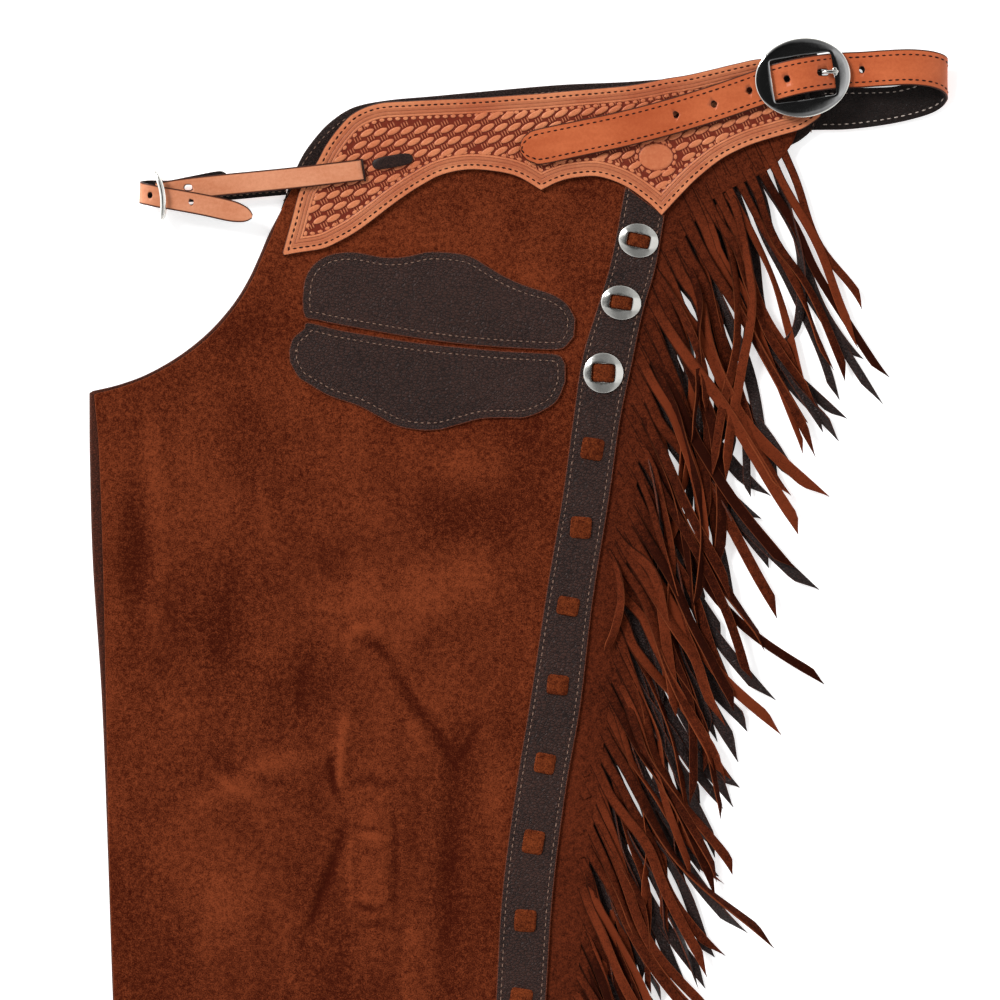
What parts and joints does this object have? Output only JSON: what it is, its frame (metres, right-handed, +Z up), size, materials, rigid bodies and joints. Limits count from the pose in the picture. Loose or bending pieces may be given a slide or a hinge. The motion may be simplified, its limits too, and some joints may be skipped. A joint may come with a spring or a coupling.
{
  "type": "leather chaps",
  "caption": "Fringed rough-out leather chaps, folded in half and lying flat, with tooled yoke, pocket, conchos and buckled belt.",
  "frame": {"origin": "centre of the part's box, on the floor it lies on", "axes": "+Y from the hem to the waist, +X from the folded front to the fringed outseam, +Z up off the floor"},
  "size_m": [0.67, 1.092, 0.0264],
  "materials": {
    "suede": "rough-out suede, brushed nap, mottled",
    "reverse": "dark smooth reverse of the leather",
    "grain": "dark brown pebbled grain, satin",
    "tan": "tan skirting leather, tooled and antiqued, satin",
    "silver": "polished silver plate"
  },
  "bodies": {
    "root": {"belt": "tan", "belt_lining": "reverse", "buckle_chape": "tan", "buckle_frame": "silver", "buckle_tongue": "silver", "concho_1": "silver", "concho_2": "silver", "concho_3": "silver", "concho_lace_1": "suede", "concho_lace_2": "suede", "concho_lace_3": "suede", "fringe": "suede", "front_billet": "tan", "front_billet_lining": "reverse", "front_tie": "tan", "front_tie_lining": "reverse", "lace_tab_01": "suede", "lace_tab_02": "suede", "lace_tab_03": "suede", "lace_tab_04": "suede", "lace_tab_05": "suede", "lace_tab_06": "suede", "lace_tab_07": "suede", "lace_tab_08": "suede", "lace_tab_09": "suede", "lace_tab_10": "suede", "lace_tab_11": "suede", "lace_tab_12": "suede", "lace_tab_13": "suede", "leg_panel": "suede", "pocket_lower": "grain", "pocket_upper": "grain", "side_strip": "grain", "tie_buckle": "silver", "under_fringe": "reverse", "under_leg": "reverse", "under_yoke": "reverse", "yoke": "tan", "yoke_thong": "reverse"}
  },
  "joints": []
}
